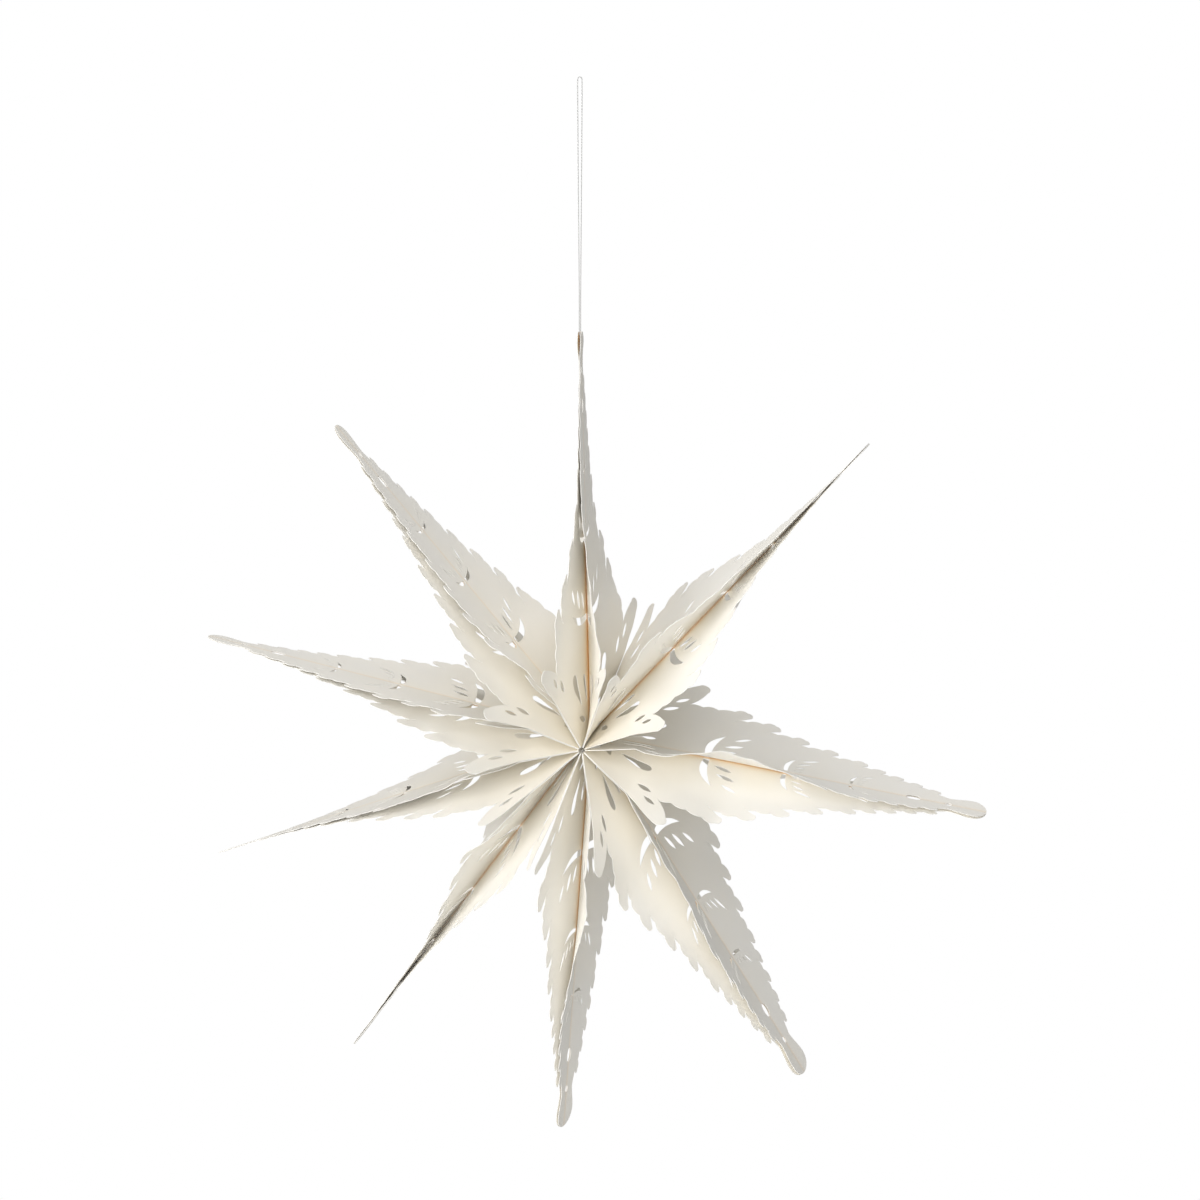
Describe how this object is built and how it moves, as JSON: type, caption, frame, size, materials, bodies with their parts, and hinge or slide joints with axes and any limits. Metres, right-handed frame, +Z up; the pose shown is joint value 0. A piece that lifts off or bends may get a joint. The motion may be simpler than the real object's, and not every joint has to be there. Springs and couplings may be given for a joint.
{
  "type": "hanging paper snowflake ornament",
  "caption": "Hanging paper snowflake with leaf-shaped points, each of two die-cut sheets glued back to back, on a looped thread.",
  "frame": {"origin": "top of the thread loop, where the ornament hangs from a hook", "axes": "+Z up along the thread, -Y towards the viewer along the star's axis, +X to the right"},
  "size_m": [0.3912, 0.112, 0.5248],
  "materials": {
    "paper": "matte",
    "thread": "matte"
  },
  "bodies": {
    "root": {"top_sheet_a": "paper", "top_sheet_b": "paper", "upper_left_sheet_a": "paper", "upper_left_sheet_b": "paper", "left_sheet_a": "paper", "left_sheet_b": "paper", "lower_left_sheet_a": "paper", "lower_left_sheet_b": "paper", "bottom_left_sheet_a": "paper", "bottom_left_sheet_b": "paper", "bottom_sheet_a": "paper", "bottom_sheet_b": "paper", "bottom_right_sheet_a": "paper", "bottom_right_sheet_b": "paper", "right_sheet_a": "paper", "right_sheet_b": "paper", "upper_right_sheet_a": "paper", "upper_right_sheet_b": "paper", "closing_tab": "paper", "thread_knot": "thread", "hanging_thread": "thread"}
  },
  "joints": []
}
